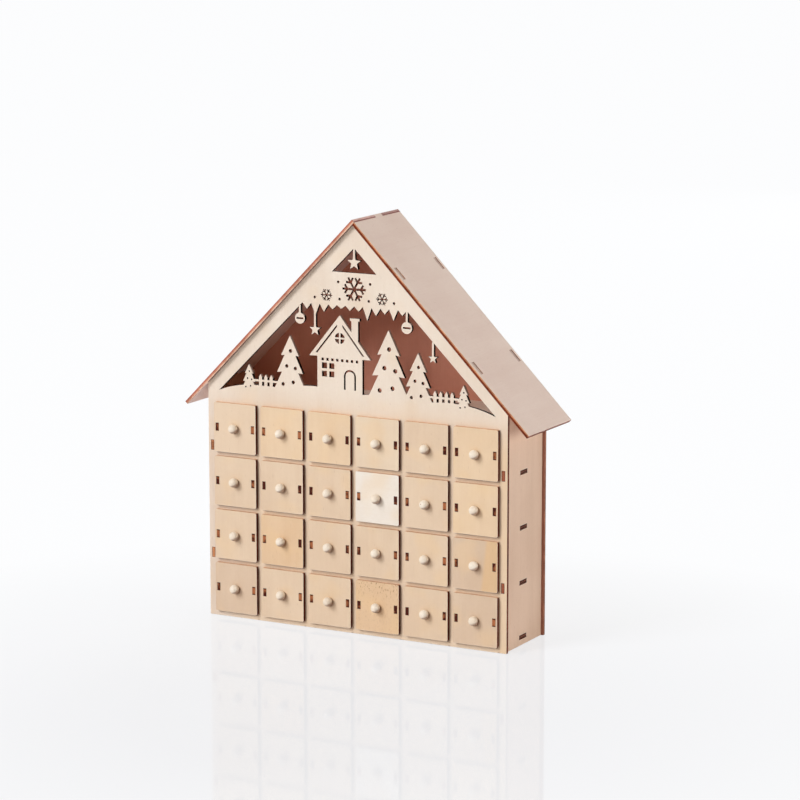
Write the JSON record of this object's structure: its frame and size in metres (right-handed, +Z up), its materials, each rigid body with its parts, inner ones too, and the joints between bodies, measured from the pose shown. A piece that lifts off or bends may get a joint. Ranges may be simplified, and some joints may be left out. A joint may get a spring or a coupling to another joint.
{
  "type": "wooden advent calendar",
  "caption": "House-shaped plywood advent calendar with a pitched roof, a pierced gable picture and rows of small knobbed drawers that slide out of its front.",
  "frame": {"origin": "on the ground under the middle of the whole object's box", "axes": "+X to the right seen from the front, +Y from the front to the back, +Z up"},
  "size_m": [0.265, 0.0702, 0.285],
  "materials": {
    "front_sheet": "raw pale plywood, laser cut",
    "case_sheet": "raw plywood, laser cut",
    "roof_sheet": "raw plywood, laser cut",
    "inner_sheet": "raw plywood, laser cut",
    "drawer_sheet": "raw plywood, laser cut",
    "knob_wood": "turned and sanded"
  },
  "bodies": {
    "case": {"front_panel": "front_sheet", "back_panel": "case_sheet", "side_left": "case_sheet", "side_right": "case_sheet", "roof_left": "roof_sheet", "roof_right": "roof_sheet", "base_board": "inner_sheet", "shelf_1": "inner_sheet", "shelf_2": "inner_sheet", "shelf_3": "inner_sheet", "attic_floor": "inner_sheet", "dividers": "inner_sheet"},
    "drawer_01": {"drawer_01": "drawer_sheet", "knob_01": "knob_wood"},
    "drawer_02": {"drawer_02": "drawer_sheet", "knob_02": "knob_wood"},
    "drawer_03": {"drawer_03": "drawer_sheet", "knob_03": "knob_wood"},
    "drawer_04": {"drawer_04": "drawer_sheet", "knob_04": "knob_wood"},
    "drawer_05": {"drawer_05": "drawer_sheet", "knob_05": "knob_wood"},
    "drawer_06": {"drawer_06": "drawer_sheet", "knob_06": "knob_wood"},
    "drawer_07": {"drawer_07": "drawer_sheet", "knob_07": "knob_wood"},
    "drawer_08": {"drawer_08": "drawer_sheet", "knob_08": "knob_wood"},
    "drawer_09": {"drawer_09": "drawer_sheet", "knob_09": "knob_wood"},
    "drawer_10": {"drawer_10": "drawer_sheet", "knob_10": "knob_wood"},
    "drawer_11": {"drawer_11": "drawer_sheet", "knob_11": "knob_wood"},
    "drawer_12": {"drawer_12": "drawer_sheet", "knob_12": "knob_wood"},
    "drawer_13": {"drawer_13": "drawer_sheet", "knob_13": "knob_wood"},
    "drawer_14": {"drawer_14": "drawer_sheet", "knob_14": "knob_wood"},
    "drawer_15": {"drawer_15": "drawer_sheet", "knob_15": "knob_wood"},
    "drawer_16": {"drawer_16": "drawer_sheet", "knob_16": "knob_wood"},
    "drawer_17": {"drawer_17": "drawer_sheet", "knob_17": "knob_wood"},
    "drawer_18": {"drawer_18": "drawer_sheet", "knob_18": "knob_wood"},
    "drawer_19": {"drawer_19": "drawer_sheet", "knob_19": "knob_wood"},
    "drawer_20": {"drawer_20": "drawer_sheet", "knob_20": "knob_wood"},
    "drawer_21": {"drawer_21": "drawer_sheet", "knob_21": "knob_wood"},
    "drawer_22": {"drawer_22": "drawer_sheet", "knob_22": "knob_wood"},
    "drawer_23": {"drawer_23": "drawer_sheet", "knob_23": "knob_wood"},
    "drawer_24": {"drawer_24": "drawer_sheet", "knob_24": "knob_wood"}
  },
  "joints": [
    {"name": "drawer_01_slide", "type": "slide", "parent": "case", "child": "drawer_01", "axis": [0, -1, 0], "range_m": [0, 0.045]},
    {"name": "drawer_02_slide", "type": "slide", "parent": "case", "child": "drawer_02", "axis": [0, -1, 0], "range_m": [0, 0.045]},
    {"name": "drawer_03_slide", "type": "slide", "parent": "case", "child": "drawer_03", "axis": [0, -1, 0], "range_m": [0, 0.045]},
    {"name": "drawer_04_slide", "type": "slide", "parent": "case", "child": "drawer_04", "axis": [0, -1, 0], "range_m": [0, 0.045]},
    {"name": "drawer_05_slide", "type": "slide", "parent": "case", "child": "drawer_05", "axis": [0, -1, 0], "range_m": [0, 0.045]},
    {"name": "drawer_06_slide", "type": "slide", "parent": "case", "child": "drawer_06", "axis": [0, -1, 0], "range_m": [0, 0.045]},
    {"name": "drawer_07_slide", "type": "slide", "parent": "case", "child": "drawer_07", "axis": [0, -1, 0], "range_m": [0, 0.045]},
    {"name": "drawer_08_slide", "type": "slide", "parent": "case", "child": "drawer_08", "axis": [0, -1, 0], "range_m": [0, 0.045]},
    {"name": "drawer_09_slide", "type": "slide", "parent": "case", "child": "drawer_09", "axis": [0, -1, 0], "range_m": [0, 0.045]},
    {"name": "drawer_10_slide", "type": "slide", "parent": "case", "child": "drawer_10", "axis": [0, -1, 0], "range_m": [0, 0.045]},
    {"name": "drawer_11_slide", "type": "slide", "parent": "case", "child": "drawer_11", "axis": [0, -1, 0], "range_m": [0, 0.045]},
    {"name": "drawer_12_slide", "type": "slide", "parent": "case", "child": "drawer_12", "axis": [0, -1, 0], "range_m": [0, 0.045]},
    {"name": "drawer_13_slide", "type": "slide", "parent": "case", "child": "drawer_13", "axis": [0, -1, 0], "range_m": [0, 0.045]},
    {"name": "drawer_14_slide", "type": "slide", "parent": "case", "child": "drawer_14", "axis": [0, -1, 0], "range_m": [0, 0.045]},
    {"name": "drawer_15_slide", "type": "slide", "parent": "case", "child": "drawer_15", "axis": [0, -1, 0], "range_m": [0, 0.045]},
    {"name": "drawer_16_slide", "type": "slide", "parent": "case", "child": "drawer_16", "axis": [0, -1, 0], "range_m": [0, 0.045]},
    {"name": "drawer_17_slide", "type": "slide", "parent": "case", "child": "drawer_17", "axis": [0, -1, 0], "range_m": [0, 0.045]},
    {"name": "drawer_18_slide", "type": "slide", "parent": "case", "child": "drawer_18", "axis": [0, -1, 0], "range_m": [0, 0.045]},
    {"name": "drawer_19_slide", "type": "slide", "parent": "case", "child": "drawer_19", "axis": [0, -1, 0], "range_m": [0, 0.045]},
    {"name": "drawer_20_slide", "type": "slide", "parent": "case", "child": "drawer_20", "axis": [0, -1, 0], "range_m": [0, 0.045]},
    {"name": "drawer_21_slide", "type": "slide", "parent": "case", "child": "drawer_21", "axis": [0, -1, 0], "range_m": [0, 0.045]},
    {"name": "drawer_22_slide", "type": "slide", "parent": "case", "child": "drawer_22", "axis": [0, -1, 0], "range_m": [0, 0.045]},
    {"name": "drawer_23_slide", "type": "slide", "parent": "case", "child": "drawer_23", "axis": [0, -1, 0], "range_m": [0, 0.045]},
    {"name": "drawer_24_slide", "type": "slide", "parent": "case", "child": "drawer_24", "axis": [0, -1, 0], "range_m": [0, 0.045]}
  ]
}
